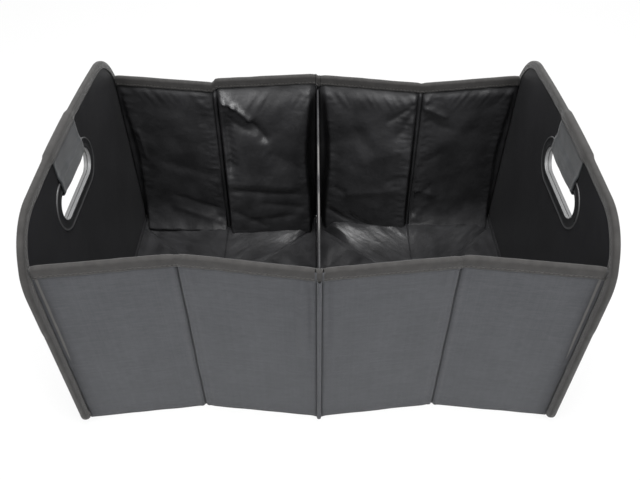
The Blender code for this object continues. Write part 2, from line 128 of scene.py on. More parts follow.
# Loose linings: sag, drape under the tape, that drape's height, lean at the foot, and the folds. A fold runs
# between two places (across from the hinge to the crease, up from the foot, 0 to 1), then height and width.
LOOSE_LININGS = {
    ("back", "left", False): (0.0040, 0.0085, 0.017, 0.031, (
        (0.95, 1.02, 0.94, 0.90, 0.0034, 0.0034),
        (0.99, 0.95, 0.80, 0.90, 0.0042, 0.0028),
        (0.86, 0.92, 0.62, 0.78, 0.0042, 0.0034),
        (0.68, 0.82, 0.52, 0.66, -0.0066, 0.0062),
        (0.96, 0.87, 0.64, 0.71, -0.0036, 0.0065),
        (0.93, 0.84, 0.93, 0.42, -0.0085, 0.0070),
        (0.99, 0.345, 0.10, 0.29, -0.0034, 0.0055),
        (0.99, 0.395, 0.10, 0.35, 0.0024, 0.0100),
        (0.52, 0.60, 0.14, 0.47, -0.0024, 0.0120),
        (0.62, 0.24, 0.10, 0.19, -0.0022, 0.0055),
        (0.98, 0.20, 0.55, 0.06, -0.0028, 0.0055),
        (0.80, 0.10, 0.22, 0.15, -0.0022, 0.0050),
    )),
    ("back", "right", False): (0.0048, 0.0046, 0.010, 0.023, (
        (0.04, 0.60, 0.52, 0.72, -0.0036, 0.0200),
        (0.40, 0.50, 0.96, 0.66, 0.0020, 0.0150),
        (0.99, 0.94, 0.68, 0.80, -0.0022, 0.0045),
        (0.99, 0.90, 0.80, 0.68, -0.0020, 0.0050),
        (0.08, 0.17, 0.48, 0.03, -0.0036, 0.0045),
        (0.30, 0.14, 0.62, 0.02, -0.0030, 0.0045),
        (0.14, 0.34, 0.32, 0.28, -0.0022, 0.0060),
        (0.20, 0.28, 0.96, 0.33, 0.0018, 0.0080),
        (0.96, 0.44, 0.70, 0.38, -0.0016, 0.0060),
    )),
    ("back", "left", True): (0.0022, 0.0018, 0.004, 0.006, (
        (0.14, 0.74, 0.19, 0.50, 0.0018, 0.0030),
        (0.96, 0.60, 0.42, 0.68, -0.0016, 0.0120),
        (0.96, 0.40, 0.28, 0.49, -0.0018, 0.0100),
        (0.96, 0.13, 0.34, 0.24, -0.0024, 0.0060),
        (0.92, 0.06, 0.36, 0.15, 0.0020, 0.0050),
    )),
    ("back", "right", True): (0.0020, 0.0036, 0.006, 0.004, (
        (0.98, 0.92, 0.70, 0.82, 0.0030, 0.0045),
        (0.98, 0.84, 0.60, 0.72, -0.0022, 0.0080),
        (0.98, 0.46, 0.66, 0.60, -0.0018, 0.0070),
        (0.98, 0.30, 0.70, 0.22, 0.0022, 0.0050),
        (0.98, 0.20, 0.74, 0.34, -0.0024, 0.0060),
        (0.98, 0.06, 0.78, 0.18, 0.0020, 0.0055),
    )),
}

# The other linings: sag, drape, that drape's height and lean
PLAIN_LINING = (0.0040, 0.0030, 0.008, 0.010)

# The floor's loose corners. The last rows of their grid are tucked under the floor board, so that no gap
# opens when the walls are pulled flat.
GUSSET_SEEN_ROWS = 60
GUSSET_ROWS = 70
GUSSET_TUCK = 0.048

# How the loose corners billow: how far in from the wall, how high, and over what distance they fall
PLAIN_SWELL = (0.024, 0.005, 0.026)
GUSSET_SWELLS = {
    ("back", "right", False): (0.025, 0.0135, 0.026),
    ("back", "right", True): (0.026, 0.0050, 0.024),
    ("back", "left", False): (0.033, 0.0080, 0.018),
    ("back", "left", True): (0.030, -0.0055, 0.034),
}


def rough(point, scale, seed):
    """Smooth noise from -1 to 1 at a point, with features of about the given size."""
    return noise.noise(Vector(point) / scale + Vector((seed * 3.7, seed * 1.3, seed * 7.1)))


def ease(value):
    """Eases from 0 to 1 as the value goes from 0 to 1."""
    held = min(1.0, max(0.0, value))
    return held * held * (3 - 2 * held)


def bump(distance, width):
    """1 at no distance, falling smoothly to 0 over a few widths."""
    return math.exp(-((distance / width) ** 2))


class Wire:
    """A value in a material. Arithmetic on it adds Math nodes."""

    def __init__(self, finish, socket):
        self.finish = finish
        self.socket = socket

    def maths(self, operation, *values):
        return self.finish.add("Math", values, operation=operation)

    def __add__(self, other):
        return self.maths("ADD", self, other)

    __radd__ = __add__

    def __sub__(self, other):
        return self.maths("SUBTRACT", self, other)

    def __rsub__(self, other):
        return self.maths("SUBTRACT", other, self)

    def __mul__(self, other):
        return self.maths("MULTIPLY", self, other)

    __rmul__ = __mul__

    def __truediv__(self, other):
        return self.maths("DIVIDE", self, other)

    def __pow__(self, other):
        return self.maths("POWER", self, other)

    def __mod__(self, other):
        return self.maths("FLOORED_MODULO", self, other)

    def __gt__(self, other):
        return self.maths("GREATER_THAN", self, other)

    def __abs__(self):
        return self.maths("ABSOLUTE", self)

    def floor(self):
        return self.maths("FLOOR", self)

    def sine(self):
        return self.maths("SINE", self)

    def ramp(self, low, high):
        """0 below low, 1 above high and smooth between them."""
        inputs = {"Value": self, "From Min": low, "From Max": high}
        return self.finish.add("MapRange", inputs, interpolation_type="SMOOTHSTEP")


class Finish:
    """A procedural material, built node by node around one Principled shader."""

    def __init__(self, name, roughness, **constants):
        self.material = bpy.data.materials.new(name)
        self.material.use_nodes = True
        self.tree = self.material.node_tree
        self.shader = self.tree.nodes["Principled BSDF"]
        self.shader.inputs["Roughness"].default_value = roughness
        for socket, value in constants.items():
            self.shader.inputs[socket.replace("_", " ")].default_value = value

    def add(self, kind, values=(), output=0, **settings):
        """Adds one node: its settings first, then its sockets' values and links."""
        made = self.tree.nodes.new("ShaderNode" + kind)
        for setting, value in settings.items():
            setattr(made, setting, value)
        for socket, value in values.items() if isinstance(values, dict) else enumerate(values):
            if isinstance(value, Wire):
                self.tree.links.new(value.socket, made.inputs[socket])
            else:
                made.inputs[socket].default_value = value
        return Wire(self, made.outputs[output])

    def feed(self, socket, value):
        self.tree.links.new(value.socket, self.shader.inputs[socket])

    def cloth_place(self):
        """Where a point lies on its piece of cloth, in metres across and along it."""
        place = self.add("UVMap", uv_map="Cloth")
        across = self.add("SeparateXYZ", [place], output=0)
        along = self.add("SeparateXYZ", [place], output=1)
        return place, across, along

    def object_place(self):
        return self.add("TexCoord", output=3)

    def noise(self, place, scale, detail=2.0, roughness=0.5, stretch=(1, 1, 1)):
        """Noise from 0 to 1 with features about 1 / scale metres across."""
        moved = self.add("Mapping", {"Vector": place, "Scale": stretch})
        inputs = {"Vector": moved, "Scale": scale, "Detail": detail, "Roughness": roughness}
        return self.add("TexNoise", inputs)

    def mix(self, amount, first, second):
        """A colour between two others."""
        inputs = {0: amount, 6: first, 7: second}
        return self.add("Mix", inputs, output=2, data_type="RGBA")

    def relief(self, height, strength, distance):
        """Feeds a height in metres times 1 / distance to the surface's normal."""
        inputs = {"Height": height, "Strength": strength, "Distance": distance}
        self.feed("Normal", self.add("Bump", inputs))


def tone(red, green, blue):
    return (red, green, blue, 1.0)


def woven(finish, across, along, pitch):
    """The height, from 0 to 1, of a plain weave, and the two threads' numbers."""
    cross_cell = across / pitch
    long_cell = along / pitch
    cross_number = cross_cell.floor()
    long_number = long_cell.floor()
    over = (cross_number + long_number) % 2.0
    cross_round = ((cross_cell % 1.0) * math.pi).sine()
    long_round = ((long_cell % 1.0) * math.pi).sine()
    height = over * cross_round ** 0.5 * long_round + (1.0 - over) * long_round ** 0.5 * cross_round
    return height, cross_number, long_number


def make_canvas():
    """Slate grey woven canvas, with uneven threads, soft blotches and a painted shade line along the crease.
    """
    finish = Finish("slate_canvas", 0.9, Specular_IOR_Level=0.25, Sheen_Weight=0.12, Sheen_Roughness=0.5)
    place, across, along = finish.cloth_place()
    weave, cross_number, long_number = woven(finish, across, along, THREAD_PITCH)
    cross_thread = finish.add("TexWhiteNoise", {"W": cross_number}, noise_dimensions="1D")
    long_thread = finish.add("TexWhiteNoise", {"W": long_number + 51.0}, noise_dimensions="1D")
    blotch = finish.noise(place, 26.0, 4.0, 0.6)
    slub = finish.noise(place, 420.0, 2.0, 0.6, (0.25, 1.0, 1.0))
    shade = 0.15 * cross_thread + 0.15 * long_thread + 0.70 * slub + 0.62 * blotch + 0.26 * weave
    dark, light = tone(0.046, 0.048, 0.0535), tone(0.074, 0.0765, 0.0835)
    cloth = finish.mix((shade / 1.88).ramp(0.22, 0.78), dark, light)
    from_crease = abs(across - CREASE_PLACE + 0.0005 * (blotch - 0.5))
    # Painted shade: a dark line along the crease, where the canvas is pressed in.
    painted_crease_shade = (0.0012 - from_crease).ramp(0.0, 0.0008)
    finish.feed("Base Color", finish.mix(painted_crease_shade * 0.72, cloth, tone(0.022, 0.023, 0.025)))
    finish.relief(weave + 0.35 * slub, 0.7, 0.00020)
    return finish.material


def make_tape():
    """Warm grey ribbed tape, with a row of stitches along each edge of its width, and painted shade in the
    puckers beside them.
    """
    finish = Finish("binding_tape", 0.82, Specular_IOR_Level=0.3, Sheen_Weight=0.2, Sheen_Roughness=0.4)
    place, width_place, length_place = finish.cloth_place()
    rib = ((length_place / TAPE_RIB_PITCH) * (2 * math.pi)).sine() * 0.5 + 0.5
    thread = ((width_place / TAPE_THREAD_PITCH) * (2 * math.pi)).sine() * 0.5 + 0.5
    row = abs(width_place - STITCH_INSET)
    stitch_cell = (length_place / STITCH_PITCH) % 1.0
    dash = (0.36 - abs(stitch_cell - 0.5)).ramp(0.0, 0.07)
    stitch = dash * (0.00045 - row).ramp(0.0, 0.00025)
    pucker = (1.0 - dash) * (0.0011 - row).ramp(0.0, 0.0008)
    wear = finish.noise(place, 90.0, 4.0, 0.65)
    shade = finish.mix(wear.ramp(0.3, 0.75), tone(0.028, 0.0268, 0.0262), tone(0.049, 0.047, 0.0458))
    ribbed = finish.mix(rib * 0.5 + thread * 0.15, shade, tone(0.034, 0.0325, 0.031))
    sewn = finish.mix(stitch * 0.45, ribbed, tone(0.115, 0.108, 0.101))
    # Painted shade: the puckered dent between the stitches is coloured darker.
    finish.feed("Base Color", finish.mix(pucker * 0.4, sewn, tone(0.026, 0.025, 0.024)))
    finish.relief(rib * 0.5 + thread * 0.2 + stitch * 1.6 - pucker * 1.4, 0.8, 0.00028)
    return finish.material


def make_satin():
    """Shiny black nylon, with fine threads, small crumples, and painted sheen that makes the crumples'
    raised parts lighter.
    """
    finish = Finish("black_satin", 0.34, Specular_IOR_Level=0.5)
    place, across, along = finish.cloth_place()
    crumple = finish.noise(place, 30.0, 5.0, 0.6)
    fine = finish.noise(place, 150.0, 3.0, 0.6)
    weave = woven(finish, across, along, SATIN_THREAD_PITCH)[0]
    dark, light = tone(0.017, 0.017, 0.018), tone(0.038, 0.038, 0.040)
    # Painted sheen and shade: the colour follows the crumples' relief, lighter where they rise and darker in
    # their hollows.
    finish.feed("Base Color", finish.mix(crumple.ramp(0.25, 0.8), dark, light))
    finish.feed("Roughness", 0.25 + 0.16 * fine + 0.04 * weave)
    finish.relief(crumple * 5.0 + fine * 1.0 + weave * 0.12, 0.5, 0.0005)
    return finish.material


def make_end_lining():
    """Smooth charcoal cloth laid over the end boards; where it is cut open along both sides of the grip's
    wrap, it is dented and darkened with painted shade.
    """
    finish = Finish("charcoal_lining", 0.6, Specular_IOR_Level=0.10, Sheen_Weight=0.03)
    place, across, along = finish.cloth_place()
    weave = woven(finish, across, along, END_LINING_THREAD_PITCH)[0]
    cloud = finish.noise(place, 14.0, 4.0, 0.55)
    from_slit = abs(abs(across - SLOT_CENTRE_Y) - (WRAP_WIDTH / 2 + 0.0011))
    slit_dent_and_shade = (0.0013 - from_slit).ramp(0.0, 0.0007) * (along > SLOT_CENTRE_Z)
    cloth = finish.mix(cloud.ramp(0.3, 0.75), tone(0.0050, 0.0050, 0.0061), tone(0.0096, 0.0096, 0.0113))
    # Painted shade: a near-black line in the cuts beside the wrap, where shadow falls.
    finish.feed("Base Color", finish.mix(slit_dent_and_shade * 0.9, cloth, tone(0.002, 0.002, 0.002)))
    finish.feed("Roughness", 0.50 + 0.14 * cloud)
    finish.relief(weave + cloud * 2.0 - slit_dent_and_shade * 4.0, 0.35, 0.00018)
    return finish.material


def make_grip_plastic():
    """Dark grey moulding with a fine spark grain, a painted reflection making the slot's wall pale and a
    painted highlight along the bead round the flange.
    """
    finish = Finish("grip_plastic", 0.4, Specular_IOR_Level=0.5)
    section = finish.cloth_place()[1]
    body = finish.object_place()
    grain = finish.noise(body, 1900.0, 2.0, 0.6)
    scuff = finish.noise(body, 60.0, 5.0, 0.7)
    slot_painted_reflection = section.ramp(0.185, 0.20) * (1.0 - section.ramp(0.29, 0.33))
    bead_painted_highlight = section.ramp(0.70, 0.76) * (1.0 - section.ramp(0.90, 0.96))
    plain = finish.mix(scuff.ramp(0.35, 0.8), tone(0.017, 0.0172, 0.018), tone(0.028, 0.0285, 0.030))
    # Painted highlight: a pale line along the bead round the flange.
    with_bead_highlight = finish.mix(bead_painted_highlight * 0.8, plain, tone(0.080, 0.080, 0.082))
    # Painted reflection: the slot's wall is coloured pale, as if the bright room were reflected in it.
    finish.feed("Base Color", finish.mix(slot_painted_reflection, with_bead_highlight, tone(0.185, 0.186, 0.188)))
    finish.feed("Roughness", 0.30 + 0.20 * scuff)
    finish.relief(grain, 0.35, 0.0001)
    return finish.material


def make_grip_webbing():
    """Blue-grey twill round the grip bar: slanting ribs with stitching beside the hems."""
    finish = Finish("grip_webbing", 0.78, Specular_IOR_Level=0.3, Sheen_Weight=0.2)
    place, across, along = finish.cloth_place()
    twill = (((across + along) / WRAP_RIB_PITCH) * (2 * math.pi)).sine() * 0.5 + 0.5
    thread = (((across - along) / WRAP_THREAD_PITCH) * (2 * math.pi)).sine() * 0.5 + 0.5
    wear = finish.noise(place, 60.0, 4.0, 0.6)
    row = abs(abs(across - WRAP_WIDTH / 2) - (WRAP_WIDTH / 2 - WRAP_STITCH_INSET))
    dash = (0.36 - abs((along / WRAP_STITCH_PITCH) % 1.0 - 0.5)).ramp(0.0, 0.07)
    stitch = dash * (0.0004 - row).ramp(0.0, 0.0002)
    cloth = finish.mix(wear.ramp(0.3, 0.75), tone(0.013, 0.0155, 0.0185), tone(0.026, 0.0300, 0.0350))
    ribbed = finish.mix(twill * 0.4, cloth, tone(0.009, 0.0105, 0.0125))
    finish.feed("Base Color", finish.mix(stitch * 0.6, ribbed, tone(0.050, 0.054, 0.058)))
    finish.relief(twill * 0.8 + thread * 0.25 + stitch * 1.5, 0.7, 0.00022)
    return finish.material


def make_sheet_board():
    """The grey sheet inside the panels, seen only at cut edges."""
    finish = Finish("stiffener_sheet", 0.6)
    place = finish.object_place()
    streak = finish.noise(place, 80.0, 3.0, 0.6, (0.1, 1.0, 1.0))
    finish.feed("Base Color", finish.mix(streak, tone(0.085, 0.082, 0.080), tone(0.135, 0.130, 0.125)))
    return finish.material


MATERIALS = {
    "outer_cloth": make_canvas(),
    "binding": make_tape(),
    "lining": make_satin(),
    "end_lining": make_end_lining(),
    "grip_ring": make_grip_plastic(),
    "grip_wrap": make_grip_webbing(),
    "stiffener": make_sheet_board(),
}


def make_piece(shape, name, slot, outward=None):
    """Turns a bmesh into a finished piece. outward is a way that an open sheet's faces should look."""
    bmesh.ops.recalc_face_normals(shape, faces=shape.faces)
    if outward:
        facing = sum((face.normal * face.calc_area() for face in shape.faces), Vector())
        if facing.dot(outward) < 0:
            bmesh.ops.reverse_faces(shape, faces=shape.faces)
    mesh = bpy.data.meshes.new(name)
    shape.to_mesh(mesh)
    shape.free()
    mesh.shade_smooth()
    mesh.materials.append(MATERIALS[slot])
    piece = bpy.data.objects.new(name, mesh)
    bpy.context.scene.collection.objects.link(piece)
    return piece


def cloth_grid(columns, rows, cut_size, place, spread=None):
    """A sheet of cloth. place(a, b) puts each grid point, a and b from 0 to 1.

    cut_size is the flat cloth's. spread is the way, 0 or 1, in which the lines draw together at the middle.
    """
    shape = bmesh.new()
    pattern = shape.loops.layers.uv.new("Cloth")
    bmesh.ops.create_grid(shape, x_segments=columns, y_segments=rows, size=0.5)
    for corner in shape.verts:
        corner.co += Vector((0.5, 0.5, 0))
        if spread is not None:
            corner.co[spread] = crease_spread(corner.co[spread])
    for face in shape.faces:
        for loop in face.loops:
            loop[pattern].uv = (loop.vert.co.x * cut_size[0], loop.vert.co.y * cut_size[1])
    for corner in shape.verts:
        corner.co = place(corner.co.x, corner.co.y)
    return shape


def thicken(piece, thickness, offset=-1.0):
    """Gives a sheet its thickness, on the side that its faces look away from."""
    wall = piece.modifiers.new("Thickness", "SOLIDIFY")
    wall.thickness = thickness
    wall.offset = offset
    wall.use_even_offset = False


def wall_point(side, wall, along, depth, height, inwards=0.0):
    """A point of a wall as it stands. along runs from the divider's hinge to the end's, depth outwards."""
    past = along > CREASE_PITCH
    reach = 2 * CREASE_PITCH - along if past else along
    x = reach * REST_COS + depth * REST_SIN
    x = CORNER_X - x if past else HINGE_X + x
    y = WALL_LINE - reach * REST_SIN + depth * REST_COS - inwards
    return Vector((SIDES[side] * x, WALLS[wall] * y, height))


def crease_spread(share):
    """0 to 1 along a half wall, with its grid lines drawn together at the crease."""
    turn = 2 * share - 1
    return 0.5 + 0.5 * math.copysign(abs(turn) ** 1.5, turn)


def top_lift(side, wall, along):
    """How far a half wall's top edge rides up, along it from the divider."""
    at_divider, before_crease, after_crease, at_end = TOP_LIFTS[wall, side]
    inner = at_divider + (before_crease - at_divider) * ease(along / CREASE_PITCH)
    outer = after_crease + (at_end - after_crease) * ease((along - CREASE_PITCH) / CREASE_PITCH)
    return inner + (outer - inner) * ease((along - CREASE_PITCH) / 0.005 + 0.5)


def bend_at_crease(cloth, side, wall, depth):
    """Works out where the crease between a wall's two boards lies, and bakes the cloth's placement into its
    mesh.
    """
    crease = wall_point(side, wall, CREASE_PITCH, depth, 0)
    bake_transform(cloth)


def foot_rise(reach):
    """How much higher a wall's cloth meets the floor, reach along it from its hinge."""
    return 0.45 * max(0.0, reach) * REST_SIN


def add_canvas(side, wall):
    """The outer canvas of half a wall, over two boards, pressed in at the crease between them."""
    seed = SIDES[side] * 2 + WALLS[wall]
    length = 2 * CREASE_PITCH + 2 * HEM_REACH
    top = WALL_TOP - UNDER_TAPE
    roll = 0.0036 if (wall, side) == ("front", "left") else 0.0010

    def place(across, up):
        along = across * length - HEM_REACH
        height = WALL_FOOT + (top + top_lift(side, wall, along) - WALL_FOOT) * up
        waver = 0.0006 * rough((0, 0, height), 0.035, seed + 2) * ease((WALL_TOP - height) / 0.05)
        from_crease = abs(along - CREASE_PITCH + waver)
        from_divider = along + HEM_REACH
        from_end = length - from_divider
        board = abs(math.sin(math.pi * min(1.0, from_crease / CREASE_PITCH)))
        depth = CANVAS_FACE + 0.0002 + 0.0005 * board * math.sin(math.pi * up) ** 0.5
        depth += 0.00030 * rough((along, 0, height), 0.030, seed) * board ** 0.5
        depth += 0.00018 * rough((along * 0.4, 0, height), 0.011, seed + 9) * ease(from_crease / 0.01)
        depth -= 0.0019 * bump(from_crease, 0.0012) + 0.0007 * bump(along - CREASE_PITCH + 0.0045, 0.0035)
        depth += 0.0005 * bump(from_crease - 0.0035, 0.0018)
        pocket = ease((height - 0.100) / 0.05) * ease((0.222 - height) / 0.020)
        depth += roll * pocket * bump(from_divider - 0.0135, 0.0042)
        depth -= 0.0011 * pocket * bump(from_divider - 0.0068, 0.0022)
        depth += 0.0010 * bump(from_divider, 0.0030)
        depth -= 0.0022 * ease((height - 0.05) / 0.09) * bump(from_end - 0.0035, 0.0024)
        depth += 0.0003 * ease((height - 0.08) / 0.09) * bump(from_end - 0.0090, 0.0036)
        hem = (0.0006 * rough((along, 0, 0), 0.028, seed + 6) - 0.0007) * ease((0.010 - height) / 0.008)
        return wall_point(side, wall, along, depth, height + hem)

    shape = cloth_grid(116, 48, (length, top - WALL_FOOT), place, spread=0)
    canvas = make_piece(shape, f"{wall}_{side}_canvas", "outer_cloth", Vector((0, WALLS[wall], 0)))
    thicken(canvas, CANVAS_THICKNESS)
    inner, outer = f"{wall}_{side}_inner", f"{wall}_{side}_outer"
    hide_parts(f"{inner}_cloth", f"{outer}_cloth")
    bend_at_crease(canvas, side, wall, CANVAS_FACE)


def tape_section(share, half, drop, radius):
    """A point of a folded tape's section, as (across, down), share 0 to 1 from one foot to the other."""
    leg = drop - radius
    bend = math.pi * radius / 2
    flat = 2 * (half - radius)
    length = 2 * leg + 2 * bend + flat
    travel = share * length
    if travel < leg:
        return -half, drop - travel
    travel -= leg
    if travel < bend:
        turn = travel / radius
        return -half + radius - radius * math.cos(turn), radius - radius * math.sin(turn)
    travel -= bend
    if travel < flat:
        return -half + radius + travel, 0.0
    travel -= flat
    if travel < bend:
        turn = travel / radius
        return half - radius + radius * math.sin(turn), radius - radius * math.cos(turn)
    return half, radius + travel - bend


def tape_length(half, drop, radius):
    """The width of a tape that folds into this section."""
    return 2 * (drop - radius) + math.pi * radius + 2 * (half - radius)


def add_wall_tape(side, wall):
    """The tape folded over the top of half a wall, stitched, and pinched where the wall bends."""
    seed = SIDES[side] * 3 + WALLS[wall] * 5
    start, end = 0.0003, 2 * CREASE_PITCH - 0.0003
    middle = (TAPE_INNER_FACE + TAPE_OUTER_FACE) / 2
    half = (TAPE_OUTER_FACE - TAPE_INNER_FACE) / 2 - TAPE_THICKNESS / 2
    radius = 0.0022
    across_tape = tape_length(half, TAPE_DROP, radius)

    def place(around, share):
        along = start + (end - start) * share
        from_crease = abs(along - CREASE_PITCH)
        from_end = min(along - start, end - along)
        across, down = tape_section(around, half, TAPE_DROP, radius)
        pinch = bump(from_crease, 0.0035)
        wave = rough((along, 0, 0), 0.020, seed)
        top = WALL_TOP + 0.0003 + 0.0004 * wave - 0.0007 * pinch - 0.0008 * bump(from_end, 0.003)
        top += top_lift(side, wall, along)
        foot_wave = 0.0008 * rough((along, across, 1), 0.009, seed + 4)
        down += foot_wave * down / TAPE_DROP
        puff = 0.00035 * rough((along, 0, down), 0.012, seed + 2) * ease(down / TAPE_DROP)
        across += math.copysign(puff, across) + math.copysign(0.0003, across) * ease(down / TAPE_DROP)
        across *= 1 - 0.22 * pinch
        return wall_point(side, wall, along, middle + across, top - down)

    shape = cloth_grid(22, 130, (across_tape, end - start), place, spread=1)
    tape = make_piece(shape, f"{wall}_{side}_tape", "binding")
    mirror_tape_pattern(tape, across_tape)
    thicken(tape, TAPE_THICKNESS, 0.0)
    inner, outer = f"{wall}_{side}_inner", f"{wall}_{side}_outer"
    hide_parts(f"{inner}_binding", f"{outer}_binding")
    bend_at_crease(tape, side, wall, CANVAS_FACE)


def mirror_tape_pattern(tape, across_tape):
    """Counts the tape's width from its nearer edge, so that both edges get the stitches."""
    for point in tape.data.uv_layers["Cloth"].data:
        point.uv.x = across_tape / 2 - abs(point.uv.x - across_tape / 2)


def fold_height(across, up, fold):
    """The height of one fold at a place on a lining. It tapers off at both ends."""
    start_across, start_up, end_across, end_up, height, width = fold
    run = Vector(((end_across - start_across) * CREASE_PITCH, (end_up - start_up) * WALL_TOP))
    place = Vector(((across - start_across) * CREASE_PITCH, (up - start_up) * WALL_TOP))
    travel = place.dot(run) / run.length_squared
    wander = 0.0026 * rough((travel * 0.8, start_up * 9, start_across * 7), 0.45, 3)
    off_line = abs((place.x * run.y - place.y * run.x) / run.length + wander)
    taper = ease((travel + 0.06) / 0.22) * ease((1.06 - travel) / 0.30)
    return height * taper * math.exp(-((off_line / width) ** 1.5))


def scattered_folds(seed):
    """Folds for a lining that the photograph doesn't show, of the same kind as the others."""
    folds = []
    for number in range(8):
        chance = [0.5 + 0.9 * rough((number * 2.3, turn * 1.9, 0), 1.0, seed) for turn in range(4)]
        end_up = chance[1] + 0.25 * (chance[2] - 0.5)
        height = (0.0016 + 0.0016 * chance[3]) * (1 if number % 2 else -1)
        folds.append((0.02 + 0.3 * chance[0], chance[1], 0.95, end_up, height, 0.005 + 0.005 * chance[2]))
    return folds


def foot_sweep(lean, height):
    """How far a lining sweeps in over the floor, on top of its lean, this high above its foot."""
    return max(0.0, FOOT_REACH - lean) * max(0.0, 1 - height / 0.040) ** 2.2


def lining_off(loose, across, up, seed):
    """How far a wall's loose lining stands in from its board, up from 0 at the foot to 1 at the tape."""
    sag, drape, drape_height, lean, folds = loose
    below = (1 - up) * WALL_TOP
    hinge_side = ease((across - 0.012 - 0.05 * bump(up - 0.55, 0.28)) / 0.060)
    crease_side = ease((1 - across) / 0.035)
    swell = sag * math.sin(math.pi * up) ** 0.6 * (0.85 + 0.5 * rough((across, up * 1.6, 0), 0.5, seed))
    ripple = 0.0008 * rough((across, up * 1.7, 0), 0.17, seed + 5)
    puckers = bump(across - 0.93, 0.11) + 0.7 * bump(across - 0.10, 0.09)
    ripple += 0.0011 * puckers * rough((across * 0.25, up, 7), 0.024, seed + 6)
    streak = 0.9 + 0.4 * rough((across - below * 2.5, below * 3.0, 1), 0.22, seed + 3)
    streak += 0.45 * rough((across - below * 5.0, 0, 5), 0.050, seed + 8) * bump(below - 0.010, 0.014)
    hanging = drape * (1 - math.exp(-((below / drape_height) ** 2))) * math.exp(-below / 0.11) * streak
    folded = sum(fold_height(across, up, fold) for fold in folds) * ease(below / 0.010)
    leaning = SEAM_LEAN + (lean - SEAM_LEAN) * crease_side
    off = leaning * (1 - up) ** 1.1 + foot_sweep(leaning, up * WALL_TOP)
    return max(0.0, hinge_side * (off + crease_side * (swell + ripple + folded + hanging)))


def add_wall_lining(side, wall, outer_board):
    """The loose lining of one wall board. It sweeps in over the floor."""
    place_name = "outer" if outer_board else "inner"
    seed = SIDES[side] * 5 + WALLS[wall] * 11 + outer_board * 17
    loose = LOOSE_LININGS.get((wall, side, outer_board)) or (*PLAIN_LINING, scattered_folds(seed))
    start, end = -LINING_REACH, CREASE_PITCH - 0.0022

    def place(across, up):
        reach = start + (end - start) * across
        along = 2 * CREASE_PITCH - reach if outer_board else reach
        foot = 0.0046 + foot_rise(reach)
        top = WALL_TOP - UNDER_TAPE + top_lift(side, wall, along)
        height = foot + (top - foot) * up
        free = (height - foot) / (top - TAPE_DROP + 0.0010 - foot)
        off = lining_off(loose, across, free, seed) if free < 1 else 0.0
        frill = 0.0012 * rough((reach, 0, 4), 0.012, seed) * ease((0.012 - height + foot) / 0.012)
        face = LINING_FACE + 0.0008 * ease(-reach / LINING_REACH)
        return wall_point(side, wall, along, face, height + frill, off)

    shape = cloth_grid(68, 122, (end - start, WALL_TOP), place)
    body = f"{wall}_{side}_{place_name}"
    lining = make_piece(shape, f"{body}_satin", "lining", Vector((0, -WALLS[wall], 0)))
    thicken(lining, LINING_THICKNESS)
    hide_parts(f"{body}_lining")
    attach(lining, body)
    hinge_edge = 2 * CREASE_PITCH - start if outer_board else start
    anchor = wall_point(side, wall, hinge_edge, LINING_FACE, 0.1)
    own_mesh(lining)


def add_crease_strip(side, wall):
    """The piped seam of lining behind a crease, between the two boards' linings."""
    low, high = 0.0096, WALL_TOP - 0.0016

    def place(across, up):
        height = low + (high - low) * up
        off_seam = 0.007 * (2 * across - 1)
        pipe = 0.0036 * bump(off_seam, 0.0014) * ease((WALL_TOP - TAPE_DROP - height) / 0.004)
        waver = 0.0003 * rough((0, 0, height), 0.025, SIDES[side] + WALLS[wall] * 3)
        share = min(1.0, up * 1.05)
        off = SEAM_LEAN * (1 - share) ** 1.1 + 0.4 * foot_sweep(SEAM_LEAN, share * WALL_TOP) + pipe
        return wall_point(side, wall, CREASE_PITCH + off_seam + waver, LINING_FACE + 0.0008, height, off)

    shape = cloth_grid(32, 70, (0.014, high - low), place)
    strip = make_piece(shape, f"{wall}_{side}_crease_piping", "lining", Vector((0, -WALLS[wall], 0)))
    bend_at_crease(strip, side, wall, LINING_FACE)


def end_outline_point(share):
    """A point of an end panel's edge, in Y and Z, share 0 to 1 round it from the middle of its foot."""
    half = END_WIDTH / 2
    shoulder = END_HEIGHT - END_CROWN
    flat = half - END_CORNER_Y
    foot = half - END_FOOT_RADIUS
    side_top = shoulder - END_CORNER_Z
    corner_length = math.pi / 2 * (END_CORNER_Y + END_CORNER_Z) / 2
    foot_arc = math.pi / 2 * END_FOOT_RADIUS
    lengths = (foot, foot_arc, side_top - END_FOOT_RADIUS, corner_length, flat)
    total = 2 * sum(lengths)
    travel = share * total
    mirrored = travel > total / 2
    if mirrored:
        travel = total - travel
    if travel < lengths[0]:
        y, z = travel, 0.0
    elif travel < sum(lengths[:2]):
        turn = (travel - lengths[0]) / END_FOOT_RADIUS
        y = foot + END_FOOT_RADIUS * math.sin(turn)
        z = END_FOOT_RADIUS - END_FOOT_RADIUS * math.cos(turn)
    elif travel < sum(lengths[:3]):
        y, z = half, END_FOOT_RADIUS + travel - sum(lengths[:2])
    elif travel < sum(lengths[:4]):
        turn = (travel - sum(lengths[:3])) / corner_length * math.pi / 2
        y = flat + END_CORNER_Y * math.cos(turn)
        z = side_top + END_CORNER_Z * math.sin(turn)
    else:
        y = flat - (travel - sum(lengths[:4]))
        z = shoulder + END_CROWN * (1 - (y / flat) ** 2)
    return (-y if mirrored else y), z


def end_outline_length():
    steps = 400
    points = [Vector(end_outline_point(k / steps)) for k in range(steps + 1)]
    return sum((after - before).length for before, after in zip(points, points[1:]))


def end_outline_inset(share, inwards):
    """A point a distance in from an end panel's edge."""
    here = Vector(end_outline_point(share % 1.0))
    ahead = Vector(end_outline_point((share + 0.0015) % 1.0))
    behind = Vector(end_outline_point((share - 0.0015) % 1.0))
    along = (ahead - behind).normalized()
    return here - Vector((along.y, -along.x)) * inwards


def end_point(side, out, y, z):
    """A point of an end panel, out from its inner face."""
    return Vector((SIDES[side] * (END_INNER_X + out), y, z))


